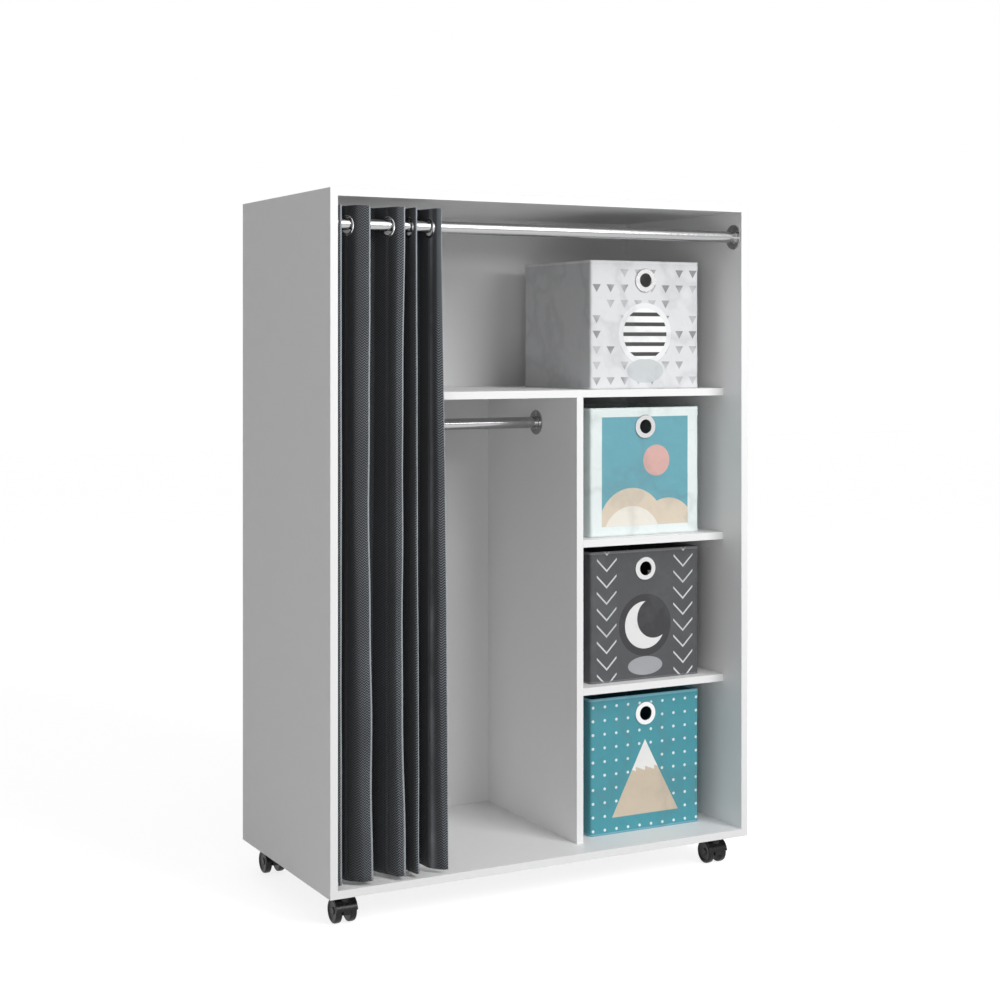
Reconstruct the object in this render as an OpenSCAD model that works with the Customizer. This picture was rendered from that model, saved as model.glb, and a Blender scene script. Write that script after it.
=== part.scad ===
// Children's open wardrobe on castors: a board carcass with a long shelf, a divider and two
// short shelves, a clothes rail, a curtain on a rod and four fabric boxes.
// Millimetres, +Z up. The origin is on the floor under the middle of the carcass, and the
// open front faces -Y.

/* [Carcass] */
// Overall width
carcass_w = 1000; // [920:10:1200]
// Overall depth
carcass_d = 498; // [470:1:600]
// Height of the board carcass without the castors
carcass_h = 1400; // [1380:10:1700]
// Thickness of every board
board_t = 16; // [15:0.5:19]
// How far the inner boards stand back from the front
shelf_setback = 70; // [69:1:90]
// Thickness of the back panel
back_t = 3; // [2.5:0.5:5]
// How far the back panel stands in from the back edge
back_inset = 14; // [10:1:25]
// Depth of the grooves that hold the back panel
groove_depth = 6; // [4:0.5:8]
// Play of the back panel in its grooves, on each side
groove_play = 0.2; // [0.1:0.05:0.4]

/* [Shelves] */
// Underside of the long shelf, above the carcass underside
long_shelf_up = 976.5; // [970:5:1040]
// Clear width of the bay right of the divider
bay_w = 366; // [360:1:420]
// Underside of the middle short shelf, above the carcass underside
middle_shelf_up = 652.5; // [650:0.5:670]
// Underside of the lower short shelf, above the carcass underside
lower_shelf_up = 333; // [330:1:345]
// Side play of the two short shelves
shelf_play = 0.3; // [0.2:0.1:1]

/* [Shelf pins] */
// Diameter of the shelf pins
pin_d = 5; // [4:0.5:6]
// How deep a shelf pin sits in a board
pin_depth = 9; // [7:0.5:10]
// How far a shelf pin reaches under its shelf
pin_reach = 9; // [6:0.5:12]
// Front pin hole, from the front of the carcass
pin_front = 129; // [110:1:150]
// Middle spare hole, from the front of the carcass
pin_middle = 321; // [200:1:340]
// Rear pin hole, from the front of the carcass
pin_rear = 424; // [390:1:440]
// Spare holes, below the underside of the shelf
spare_drop = 27; // [20:1:40]

/* [Board fittings] */
// Diameter of the cam locks
cam_d = 15; // [12:0.5:16]
// Depth of the cam locks in the face of a board
cam_h = 12.5; // [11.5:0.1:13]
// Centre of a cam lock, from the end of its board
cam_from_end = 34; // [28:1:38]
// Shank of the cam bolts
bolt_d = 7; // [5.5:0.1:8]
// Threaded end of the cam bolts
bolt_thread_d = 5; // [4:0.1:5.4]
// Length of the threaded end
bolt_thread_l = 11; // [8:0.5:12]
// Diameter of the dowels
dowel_d = 8; // [6:0.5:9]
// Depth of a dowel in the face of a board
dowel_in = 10; // [8:0.5:12]
// Depth of a dowel in the end of a board
dowel_out = 20; // [15:0.5:25]
// First fitting, from the front or back of its board
fitting_inset = 110; // [100:1:130]
// From a cam lock to the dowel beside it
dowel_step = 32; // [20:1:40]

/* [Rods] */
// Diameter of the curtain rod and the clothes rail
rod_d = 25; // [22:0.5:26]
// Wall of both tubes
rod_wall = 1.2; // [0.8:0.1:2]
// Axis of the curtain rod, behind the front of the carcass
curtain_rod_in = 30; // [29:0.5:31]
// Axis of the curtain rod, below the top board
curtain_rod_drop = 54; // [50:1:70]
// Axis of the clothes rail, behind the front of the carcass
rail_in = 249; // [200:1:300]
// Axis of the clothes rail, below the long shelf
rail_drop = 60; // [40:1:80]
// Diameter of the rod flanges
flange_d = 55; // [52:1:58]
// Thickness of a flange against the board
flange_t = 2.5; // [2:0.1:3]
// Height of the collar round the end of a rod
collar_h = 4; // [3:0.1:4.2]
// Wall of that collar
collar_wall = 2; // [1.5:0.1:2.5]
// Distance of the flange screws from the rod's axis
flange_screw_r = 20.5; // [20:0.1:21.5]
// Length of the flange screws in the board
flange_screw_l = 11; // [8:0.5:13]

/* [Curtain] */
// Thickness of the curtain fabric
curtain_t = 1.5; // [1:0.1:1.6]
// Head of the curtain above the rod's axis
curtain_head = 37; // [30:1:42]
// Hem of the curtain above the bottom board
hem_gap = 9; // [5:1:40]
// Outer diameter of the curtain eyelets
eyelet_d = 42; // [38:0.5:42]
// Hole of the curtain eyelets
eyelet_hole_d = 31; // [30.8:0.1:33]
// Thickness of an eyelet's rim on each face of the cloth
eyelet_rim_t = 1.4; // [1:0.1:1.5]
// How far the folds reach behind the rod's axis at the head
fold_back = 36; // [34:0.5:37]
// How far the folds reach in front of the rod's axis
fold_front = 25; // [24.5:0.1:26]

/* [Boxes] */
// Space at each side of a box in its bay
box_side_gap = 40.5; // [32:0.5:60]
// Depth of the fabric boxes
box_d = 300; // [260:1:330]
// Height of the top box, on the long shelf
box_1_h = 283; // [240:1:310]
// Space above the box on the middle shelf
box_2_gap = 25; // [18:0.5:60]
// Space above the box on the lower shelf
box_3_gap = 15.5; // [12:0.5:50]
// Space above the box on the bottom board
box_4_gap = 17; // [12:0.5:50]
// Front of the boxes, behind the front of the carcass
box_setback = 100; // [95:1:110]
// Middle of the boxes, left of the middle of their bay
box_shift = 5; // [0:1:12]
// Wall of a box: fabric over board
box_wall = 3; // [2:0.1:4]
// Floor of a box's fabric shell
box_floor = 2; // [1.5:0.1:3]
// Radius of a box's upright edges
box_edge_r = 5; // [4:0.5:8]
// Thickness of the loose base board in a box
base_t = 2.5; // [1.5:0.1:4]
// Play round the loose base board
base_play = 1; // [0.5:0.1:3]
// Outer diameter of the eyelet in a box's front
pull_d = 52; // [46:1:56]
// Hole of that eyelet
pull_hole_d = 30; // [26:1:34]
// Centre of that eyelet, below the top of the box
pull_drop = 42.5; // [36:0.5:60]
// Thickness of its rim on each face of the wall
pull_rim_t = 1.8; // [1:0.1:2.5]

/* [Castors] */
// Height of the castors
castor_h = 67; // [66:0.5:76]
// Diameter of the castor wheels
wheel_d = 50; // [44:1:51]
// Thickness of a castor wheel
wheel_t = 14; // [11:0.5:15]
// Distance between the middles of a castor's two wheels
wheel_pitch = 32; // [30:0.5:36]
// Castor swivel axis, from the side of the carcass
castor_side_in = 52; // [48:1:60]
// Castor swivel axis, from the front or back of the carcass
castor_end_in = 53.5; // [50:0.5:58]
// Axle behind the swivel axis
castor_trail = 9.5; // [8:0.5:14]
// Diameter of the castor axles
axle_d = 6; // [5:0.5:8]
// Diameter of the swivel pin
pivot_d = 8; // [6:0.5:9]
// Side of the square castor plates
plate_w = 42; // [40:1:46]
// Thickness of the castor plates
plate_t = 2.5; // [2:0.1:3]
// Castor screws, from the swivel axis along X and along Y
plate_screw_in = 15.5; // [15:0.5:17]
// Length of the castor screws in the board
plate_screw_l = 12; // [9:0.5:14]
// Thickness of the castor hoods
hood_t = 1.6; // [1.2:0.1:2.2]
// Gap between a hood and its wheels
hood_gap = 0.7; // [0.5:0.1:1.2]

/* [Hidden] */
$fn = 64;

// Colours
board_colour = "white";
chrome_colour = "silver";
steel_colour = "lightsteelblue";
castor_colour = "#202022";
curtain_colour = "#33363a";
box_colours = ["#e4e6e8", "#9fc4c6", "#55585e", "#3f9aa0"];
card_colour = "burlywood";

// Clearances
bore_play = 0.05;
end_play = 0.5;
over = 1;

// Planes of the carcass
left_x = -carcass_w / 2;
inner_x = carcass_w / 2 - board_t;
front_y = -carcass_d / 2;
back_y = carcass_d / 2;
inner_front_y = front_y + shelf_setback;
panel_y = back_y - back_inset - back_t;
floor_z = castor_h + board_t;
top_z = castor_h + carcass_h;
ceiling_z = top_z - board_t;
long_z = castor_h + long_shelf_up;
long_top_z = long_z + board_t;
middle_z = castor_h + middle_shelf_up;
lower_z = castor_h + lower_shelf_up;
divider_x1 = inner_x - bay_w;
divider_x0 = divider_x1 - board_t;
bay_x = (divider_x1 + inner_x) / 2;

// Rods
curtain_rod_y = front_y + curtain_rod_in;
curtain_rod_z = ceiling_z - curtain_rod_drop;
rail_y = front_y + rail_in;
rail_z = long_z - rail_drop;
flange_screw_angles = [90, 210, 330];
flange_screw_d = 3.5;
flange_screw_head_d = 6.4;
flange_screw_head_h = 1.6;
flange_fillet = 1;

// Castors: sx is -1 left or 1 right, and sy is -1 front or 1 back
axle_z = wheel_d / 2;
hood_inner_r = wheel_d / 2 + hood_gap;
hood_outer_r = hood_inner_r + hood_t;
hood_w = wheel_pitch + wheel_t;
hood_skirt_angle = 8;
wheel_side_gap = 0.6;
web_w = wheel_pitch - wheel_t - 2 * wheel_side_gap;
boss_d = 20;
boss_depth = 8;
boss_sink = 0.2;
boss_top_z = castor_h - plate_t - 5;
pivot_l = 14;
pivot_washer_d = 16;
axle_in_wheel = 9;
plate_screw_d = 4;
plate_screw_head_d = 7.5;
plate_screw_head_h = 2;

// Cam bolts and cams
cam_cavity_d = bolt_d + 1;
bolt_tip = 3;
shank_bore_d = bolt_d + 1;

// Curtain head and hem
eyelet_rest_gap = 0.4;
eyelet_neck = 1.2;
cloth_play = 0.1;
eyelet_z = curtain_rod_z - (eyelet_hole_d - rod_d) / 2 + eyelet_rest_gap;
head_z = curtain_rod_z + curtain_head;
hem_z = floor_z + hem_gap;
head_band = curtain_head + 40;
curtain_levels = 9;

// Where each pleat stands, from the outer left face: [end of the wall that runs back, start of
// the wall that runs forward, shoulder, front edge], at the head, at half height and at the hem
pleats_head = [[33, 37.5, 56, 86], [106, 126.5, 145.5, 162], [176, 184.5, 186, 188.5], [206, 229, 232, 244]];
pleats_half = [[34, 41, 58, 85], [108, 122, 143, 158], [176, 184, 188, 191], [210, 233, 240, 255]];
pleats_hem = [[36, 44, 66, 94], [112, 124, 146, 162], [178, 186, 191, 196], [216, 240, 247, 265]];
// How much deeper each pleat reaches back at the hem
hem_depth = [18, 18, 0, 16];
hem_depth_power = 6;
// First turned-in edge of the curtain, clear of the rod's left flange
flange_clearance = 0.5;
curtain_start = [board_t + flange_t + flange_clearance, 25];
wall_front = 21.5;
wall_back = 29;
turn_w = 2;

// Cloth: how far a height lies from the head band (0) to the hem (1)
function drop_share(z) = max(0, min(1, (head_z - head_band - z) / (head_z - head_band - hem_z)));
function through_three(u, a, b, c) = a * (1 - u) * (1 - 2 * u) + 4 * b * u * (1 - u) + c * u * (2 * u - 1);
function pleat(i, u) = through_three(u, pleats_head[i], pleats_half[i], pleats_hem[i]);
function pleat_back(i, u) = fold_back + hem_depth[i] * pow(u, hem_depth_power);
function wall_start(i, u) = i == 0 ? curtain_start[1] + turn_w / 2 : pleat(i - 1, u)[3] + turn_w;

// One pleat of the curtain in plan, y counted from the rod's axis
function pleat_points(i, u) =
  let (p = pleat(i, u), rear = pleat_back(i, u), gap = p[1] - p[0], sweep = p[3] - p[2])
  [
    [wall_start(i, u), -wall_front],
    [p[0], wall_back],
    [p[0] + 0.12 * gap, rear - 1.2],
    [p[0] + 0.5 * gap, rear],
    [p[1] - 0.12 * gap, rear - 1.2],
    [p[1], wall_back],
    [p[2], -wall_front],
    [p[2] + 0.3 * sweep, -fold_front + 0.6],
    [p[2] + 0.65 * sweep, -fold_front],
    [p[3], -fold_front + 0.6]
  ];
function curtain_plan(u) = concat(
  [[curtain_start[0], -fold_front + 1], [curtain_start[1], -fold_front]],
  [for (i = [0:3]) each pleat_points(i, u)]
);

// Unit vector, its left normal, and a line moved sideways by s
function unit(v) = v / norm(v);
function left_of(v) = [-v[1], v[0]];
function side_step(line, i) =
  let (
    last = len(line) - 1,
    before = unit(line[max(i, 1)] - line[max(i, 1) - 1]),
    after = unit(line[min(i, last - 1) + 1] - line[min(i, last - 1)]),
    middle = unit(left_of(before) + left_of(after))
  )
  middle / max(0.6, middle * left_of(before));
function moved(line, s) = [for (i = [0:len(line) - 1]) line[i] + s * side_step(line, i)];
function reversed(list) = [for (i = [len(list) - 1:-1:0]) list[i]];
function band(line, t) = concat(moved(line, -t / 2), reversed(moved(line, t / 2)));

// Where wall k (0 to 7) of the curtain crosses the rod, and its turn from the Y axis
function wall_ends(k) =
  let (i = floor(k / 2), p = pleat(i, 0))
  k % 2 == 0
    ? [[wall_start(i, 0), -wall_front], [p[0], wall_back]]
    : [[p[2], -wall_front], [p[1], wall_back]];
function eyelet_x(k) =
  let (w = wall_ends(k))
  left_x + w[0][0] + (w[1][0] - w[0][0]) * wall_front / (wall_front + wall_back);
function eyelet_turn(k) =
  let (w = wall_ends(k))
  atan2(w[1][0] - w[0][0], w[1][1] - w[0][1]);

// Boards between the two sides: [middle height, front, cams open upwards]
cross_boards = [
  [castor_h + board_t / 2, front_y, false],
  [long_z + board_t / 2, inner_front_y, false],
  [top_z - board_t / 2, front_y, true]
];

// Places and turns of the fittings at one end of the cross boards, inset from their edges
function end_places(s, inset, rows) = [
  for (r = rows, y = [r[1] + inset, panel_y - inset])
    [[s * inner_x, y, r[0]], [r[2] ? 180 : 0, 0, s < 0 ? 0 : 180]]
];
// The same at the bottom (-1) or top (1) of the divider
function divider_places(s, inset) = [
  for (y = [inner_front_y + inset, panel_y - inset])
    [[(divider_x0 + divider_x1) / 2, y, s < 0 ? floor_z : long_z], s < 0 ? [0, -90, 0] : [0, 90, 180]]
];
function all_places(inset) = concat(
  end_places(-1, inset, cross_boards), end_places(1, inset, cross_boards),
  divider_places(-1, inset), divider_places(1, inset)
);

// Short shelves and the heights of their pins and of the spare holes
pin_shelves = [middle_z, lower_z];
spare_heights = [for (z = [long_z, middle_z, lower_z]) z - spare_drop];
// A pin's top is flat, so that the shelf lies on it
pin_flat = pin_d / 2 - 0.2;

box_w = bay_w - 2 * box_side_gap;
box_floors = [long_top_z, middle_z + board_t, lower_z + board_t, floor_z];
box_heights = [
  box_1_h, long_z - box_floors[1] - box_2_gap, middle_z - box_floors[2] - box_3_gap,
  lower_z - box_floors[3] - box_4_gap
];
box_x = bay_x - box_shift;
box_y = front_y + box_setback;

// A board from its lowest to its highest corner
module board(low, high) {
  color(board_colour) translate(low) cube(high - low);
}

module at_places(places) {
  for (p = places) translate(p[0]) rotate(p[1]) children();
}

// A round bar along +X
module bar_x(d, x0, x1) {
  translate([x0, 0, 0]) rotate([0, 90, 0]) cylinder(d = d, h = x1 - x0);
}

// Canonical cam fitting: the joint plane is x = 0, the fixed board lies at x < 0, the carried
// board at x > 0 with its middle at z = 0, and the cam opens downwards
module cam_bolt() {
  bar_x(bolt_thread_d, -bolt_thread_l, 0);
  bar_x(bolt_d, 0, cam_from_end - bolt_tip);
}

module cam_lock() {
  difference() {
    translate([cam_from_end, 0, -board_t / 2]) cylinder(d = cam_d, h = cam_h);
    bar_x(cam_cavity_d, 0, cam_from_end);
    translate([cam_from_end, 0, -board_t / 2 - over]) cube([1.2, cam_d / 2, 2 * over + 2.4], center = true);
  }
}

module cam_cuts() {
  bar_x(bolt_thread_d + 2 * bore_play, -bolt_thread_l - end_play, over);
  bar_x(shank_bore_d, 0, cam_from_end);
  translate([cam_from_end, 0, -board_t / 2 - over])
    cylinder(d = cam_d + 2 * bore_play, h = cam_h + over + bore_play);
}

module dowel() {
  bar_x(dowel_d, -dowel_in, dowel_out);
}

module dowel_cuts() {
  bar_x(dowel_d + 2 * bore_play, -dowel_in - end_play, dowel_out + end_play);
}

// Shelf pins on a face of constant x, pointing along direction s out of that face
module at_pins(x, s) {
  for (z = pin_shelves, y = [pin_front, pin_rear])
    translate([x, front_y + y, z - pin_flat]) scale_x(s) children();
}

module at_spare_holes(x, s) {
  for (z = spare_heights, y = [pin_front, pin_middle, pin_rear])
    translate([x, front_y + y, z]) scale_x(s) children();
}

module scale_x(s) {
  if (s < 0) mirror([1, 0, 0]) children();
  else children();
}

module pin_hole() {
  bar_x(pin_d + 2 * bore_play, -pin_depth - end_play, over);
}

module shelf_pin() {
  intersection() {
    bar_x(pin_d, -pin_depth, pin_reach);
    union() {
      translate([-pin_depth - over, -pin_d, -pin_d]) cube([pin_depth + over, 2 * pin_d, 2 * pin_d]);
      translate([0, -pin_d, -pin_d]) cube([pin_reach + over, 2 * pin_d, pin_d + pin_flat]);
    }
  }
}

// Rod ends: [x of the board's face, direction out of the face, y, z]
rod_ends = [
  [-inner_x, 1, curtain_rod_y, curtain_rod_z],
  [inner_x, -1, curtain_rod_y, curtain_rod_z],
  [-inner_x, 1, rail_y, rail_z],
  [divider_x0, -1, rail_y, rail_z]
];

module at_rod_end(e) {
  translate([e[0], e[2], e[3]]) scale_x(e[1]) children();
}

module at_flange_screws() {
  for (a = flange_screw_angles) rotate([a, 0, 0]) translate([0, flange_screw_r, 0]) children();
}

// A countersunk screw along X, its head flush with the flange's face
module flange_screw(play = 0) {
  translate([flange_t - flange_screw_head_h, 0, 0]) rotate([0, 90, 0])
    cylinder(d1 = flange_screw_d + 2 * play, d2 = flange_screw_head_d + 2 * play, h = flange_screw_head_h);
  bar_x(flange_screw_d + 2 * play, -flange_screw_l - play, flange_t - flange_screw_head_h);
}

module screw_pilots(ends) {
  for (i = ends) at_rod_end(rod_ends[i]) at_flange_screws() flange_screw(bore_play);
}

// Disc against the board with a filleted collar that takes the end of the tube
module flange() {
  collar_r = rod_d / 2 + bore_play + collar_wall;
  color(chrome_colour) difference() {
    rotate([90, 0, 90]) rotate_extrude() polygon([
      [0, 0], [flange_d / 2, 0], [flange_d / 2, flange_t - flange_fillet],
      [flange_d / 2 - flange_fillet, flange_t], [collar_r + flange_fillet, flange_t],
      [collar_r, flange_t + flange_fillet], [collar_r, flange_t + collar_h - flange_fillet / 2],
      [collar_r - flange_fillet / 2, flange_t + collar_h],
      [rod_d / 2 + bore_play, flange_t + collar_h], [rod_d / 2 + bore_play, flange_t], [0, flange_t]
    ]);
    at_flange_screws() {
      flange_screw(bore_play);
      bar_x(flange_screw_head_d + 2 * bore_play, flange_t, flange_t + over);
    }
  }
}

module rod(a, b) {
  x0 = a[0] + flange_t;
  x1 = b[0] - flange_t;
  color(chrome_colour) translate([0, a[2], a[3]]) difference() {
    bar_x(rod_d, x0, x1);
    bar_x(rod_d - 2 * rod_wall, x0 - over, x1 + over);
  }
}

module back_groove() {
  translate([-inner_x - groove_depth, panel_y - groove_play, floor_z - groove_depth])
    cube([
      2 * (inner_x + groove_depth), back_t + 2 * groove_play, ceiling_z - floor_z + 2 * groove_depth
    ]);
}

module side(s) {
  low_x = s < 0 ? left_x : inner_x;
  difference() {
    board([low_x, front_y, castor_h], [low_x + board_t, back_y, top_z]);
    back_groove();
    at_places(end_places(s, fitting_inset, cross_boards)) cam_cuts();
    at_places(end_places(s, fitting_inset + dowel_step, cross_boards)) dowel_cuts();
    screw_pilots(s < 0 ? [0, 2] : [1]);
    if (s > 0) {
      at_pins(inner_x, -1) pin_hole();
      at_spare_holes(inner_x, -1) pin_hole();
    }
  }
}

module left_side() {
  side(-1);
}

module right_side() {
  side(1);
}

module end_cuts(row) {
  for (s = [-1, 1]) {
    at_places(end_places(s, fitting_inset, [row])) cam_cuts();
    at_places(end_places(s, fitting_inset + dowel_step, [row])) dowel_cuts();
  }
}

module top_panel() {
  difference() {
    board([-inner_x, front_y, ceiling_z], [inner_x, back_y, top_z]);
    back_groove();
    end_cuts(cross_boards[2]);
  }
}

module bottom_panel() {
  difference() {
    board([-inner_x, front_y, castor_h], [inner_x, back_y, floor_z]);
    back_groove();
    end_cuts(cross_boards[0]);
    at_places(divider_places(-1, fitting_inset)) cam_cuts();
    at_places(divider_places(-1, fitting_inset + dowel_step)) dowel_cuts();
    at_castors() at_plate_screws() castor_screw(bore_play);
  }
}

module long_shelf() {
  difference() {
    board([-inner_x, inner_front_y, long_z], [inner_x, panel_y, long_top_z]);
    end_cuts(cross_boards[1]);
    at_places(divider_places(1, fitting_inset)) cam_cuts();
    at_places(divider_places(1, fitting_inset + dowel_step)) dowel_cuts();
  }
}

module divider() {
  difference() {
    board([divider_x0, inner_front_y, floor_z], [divider_x1, panel_y, long_z]);
    for (s = [-1, 1]) {
      at_places(divider_places(s, fitting_inset)) cam_cuts();
      at_places(divider_places(s, fitting_inset + dowel_step)) dowel_cuts();
    }
    screw_pilots([3]);
    at_pins(divider_x1, 1) pin_hole();
    at_spare_holes(divider_x1, 1) pin_hole();
  }
}

module short_shelf(z) {
  board([divider_x1 + shelf_play, inner_front_y, z], [inner_x - shelf_play, panel_y, z + board_t]);
}

module back_panel() {
  reach = groove_depth - groove_play;
  board(
    [-inner_x - reach, panel_y, floor_z - reach],
    [inner_x + reach, panel_y + back_t, ceiling_z + reach]
  );
}

module cam_locks() {
  color(steel_colour) at_places(all_places(fitting_inset)) cam_lock();
}

module cam_bolts() {
  color(steel_colour) at_places(all_places(fitting_inset)) cam_bolt();
}

module dowels() {
  color(card_colour) at_places(all_places(fitting_inset + dowel_step)) dowel();
}

module shelf_pins() {
  color(steel_colour) {
    at_pins(inner_x, -1) shelf_pin();
    at_pins(divider_x1, 1) shelf_pin();
  }
}

module flange_screws() {
  color(steel_colour) for (e = rod_ends) at_rod_end(e) at_flange_screws() flange_screw();
}

// Metal ring pressed through cloth or a wall of thickness t, its axis along X
module grommet(hole_d, rim_d, rim_t, t) {
  half = t / 2 + cloth_play;
  color(chrome_colour) rotate([0, 90, 0]) rotate_extrude() polygon([
    [hole_d / 2, -half - rim_t / 2], [hole_d / 2 + 0.6, -half - rim_t],
    [rim_d / 2 - 1.2, -half - rim_t], [rim_d / 2, -half - rim_t / 3], [rim_d / 2, -half],
    [hole_d / 2 + eyelet_neck, -half], [hole_d / 2 + eyelet_neck, half],
    [rim_d / 2, half], [rim_d / 2, half + rim_t / 3], [rim_d / 2 - 1.2, half + rim_t],
    [hole_d / 2 + 0.6, half + rim_t], [hole_d / 2, half + rim_t / 2]
  ]);
}

module at_eyelet(k) {
  translate([eyelet_x(k), curtain_rod_y, eyelet_z]) rotate([0, 0, -eyelet_turn(k)]) children();
}

module curtain_eyelet(k) {
  at_eyelet(k) grommet(eyelet_hole_d, eyelet_d, eyelet_rim_t, curtain_t);
}

// Folded cloth: the same closed outline at each level, its corners joined up
module curtain() {
  band_z = head_z - head_band;
  level_h = (hem_z - band_z) / (curtain_levels - 1);
  zs = concat([head_z], [for (i = [0:curtain_levels - 1]) band_z + level_h * i]);
  rings = [
    for (z = zs)
      [for (p = band(curtain_plan(drop_share(z)), curtain_t)) [p[0] + left_x, p[1] + curtain_rod_y, z]]
  ];
  n = len(rings[0]);
  last = (len(rings) - 1) * n;
  sides = [
    for (k = [0:len(rings) - 2], j = [0:n - 1])
      let (a = k * n + j, b = k * n + (j + 1) % n)
      each [[a, b, b + n], [a, b + n, a + n]]
  ];
  head = [for (j = [0:n / 2 - 2]) each [[j, n - 1 - j, n - 2 - j], [j, n - 2 - j, j + 1]]];
  hem = [
    for (j = [0:n / 2 - 2])
      each [[last + j, last + n - 2 - j, last + n - 1 - j], [last + j, last + j + 1, last + n - 2 - j]]
  ];
  color(curtain_colour) difference() {
    polyhedron(points = [for (r = rings) each r], faces = concat(sides, head, hem));
    for (k = [0:7])
      at_eyelet(k)
        bar_x(eyelet_hole_d + 2 * (eyelet_neck + cloth_play), -2 * curtain_t, 2 * curtain_t);
  }
}

// Outline of a box in plan, with round upright edges
module round_outline(w, d, r) {
  square([w - 2 * r, d], center = true);
  square([w, d - 2 * r], center = true);
  for (x = [-1, 1], y = [-1, 1]) translate([x * (w / 2 - r), y * (d / 2 - r)]) circle(r = r);
}

module at_box(i) {
  translate([box_x, box_y + box_d / 2, box_floors[i]]) children();
}

module at_pull(i) {
  at_box(i) translate([0, (box_wall - box_d) / 2, box_heights[i] - pull_drop]) rotate([0, 0, 90]) children();
}

module box_shell(i) {
  color(box_colours[i]) difference() {
    at_box(i) difference() {
      linear_extrude(box_heights[i]) round_outline(box_w, box_d, box_edge_r);
      translate([0, 0, box_floor]) linear_extrude(box_heights[i])
        round_outline(box_w - 2 * box_wall, box_d - 2 * box_wall, box_edge_r - box_wall / 2);
    }
    at_pull(i) bar_x(pull_hole_d + 2 * (eyelet_neck + cloth_play), -box_wall, box_wall);
  }
}

module box_eyelet(i) {
  at_pull(i) grommet(pull_hole_d, pull_d, pull_rim_t, box_wall);
}

module box_base(i) {
  w = box_w - 2 * (box_wall + base_play);
  d = box_d - 2 * (box_wall + base_play);
  color(card_colour) at_box(i) translate([0, 0, box_floor])
    linear_extrude(base_t) round_outline(w, d, box_edge_r - box_wall / 2);
}

module at_castor(sx, sy) {
  translate([sx * (carcass_w / 2 - castor_side_in), sy * (carcass_d / 2 - castor_end_in), 0]) children();
}

module at_castors() {
  for (sx = [-1, 1], sy = [-1, 1]) at_castor(sx, sy) children();
}

module at_plate_screws() {
  for (x = [-1, 1], y = [-1, 1]) translate([x * plate_screw_in, y * plate_screw_in, 0]) children();
}

// Pan-head screw from below through the plate into the bottom board
module castor_screw(play = 0) {
  under_plate = castor_h - plate_t;
  translate([0, 0, under_plate - play])
    cylinder(d = plate_screw_d + 2 * play, h = plate_t + plate_screw_l + 2 * play);
  translate([0, 0, under_plate - plate_screw_head_h])
    cylinder(d = plate_screw_head_d, h = plate_screw_head_h);
}

module castor_screws() {
  color(steel_colour) at_castors() at_plate_screws() castor_screw();
}

// Square plate with the swivel pin and its thrust washer
module castor_plates() {
  under_plate = castor_h - plate_t;
  color(steel_colour) at_castors() {
    difference() {
      translate([0, 0, under_plate]) linear_extrude(plate_t) round_outline(plate_w, plate_w, 5);
      at_plate_screws() translate([0, 0, under_plate - over])
        cylinder(d = plate_screw_d + 2 * bore_play, h = plate_t + 2 * over);
    }
    translate([0, 0, boss_top_z + end_play])
      cylinder(d = pivot_washer_d, h = under_plate - boss_top_z - end_play);
    translate([0, 0, boss_top_z - pivot_l]) cylinder(d = pivot_d, h = pivot_l + end_play);
  }
}

// Half ring over the wheels, seen along X: from the skirt in front to the back of the hood
module hood_profile(r_out, r_in) {
  difference() {
    circle(r = r_out);
    circle(r = r_in);
    rotate(-hood_skirt_angle) translate([-2 * r_out, -4 * r_out]) square([4 * r_out, 4 * r_out]);
    translate([0.62 * r_out, -r_out]) square([r_out, 2 * r_out]);
  }
}

// Round boss for the swivel pin, cut away beside the web where the wheels turn
module castor_boss() {
  low_z = axle_z + hood_inner_r - boss_depth;
  difference() {
    translate([0, 0, low_z]) cylinder(d = boss_d, h = boss_top_z - low_z);
    for (s = [-1, 1])
      translate([0, castor_trail, axle_z]) scale_x(s)
        bar_x(2 * hood_inner_r + hood_t, web_w / 2 - boss_sink, hood_w);
  }
}

// Castor body: hood over both wheels, web between them, swivel boss and axle bore
module castor_hood(sx, sy) {
  color(castor_colour) at_castor(sx, sy) difference() {
    union() {
      translate([-hood_w / 2, castor_trail, axle_z]) rotate([90, 0, 90])
        linear_extrude(hood_w) hood_profile(hood_outer_r, hood_inner_r);
      translate([-web_w / 2, castor_trail, axle_z]) rotate([90, 0, 90]) linear_extrude(web_w) difference() {
        circle(r = hood_inner_r + hood_t / 2);
        translate([0.62 * hood_outer_r, -hood_outer_r]) square([hood_outer_r, 2 * hood_outer_r]);
        rotate(-hood_skirt_angle) translate([-2 * hood_outer_r, -4 * hood_outer_r - 8])
          square([4 * hood_outer_r, 4 * hood_outer_r]);
      }
      castor_boss();
    }
    translate([0, 0, boss_top_z - pivot_l - end_play])
      cylinder(d = pivot_d + 2 * bore_play, h = pivot_l + end_play + over);
    translate([0, castor_trail, axle_z]) bar_x(axle_d + 2 * bore_play, -web_w, web_w);
  }
}

module castor_axle(sx, sy) {
  half = web_w / 2 + wheel_side_gap + axle_in_wheel;
  color(steel_colour) at_castor(sx, sy) translate([0, castor_trail, axle_z]) bar_x(axle_d, -half, half);
}

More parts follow.
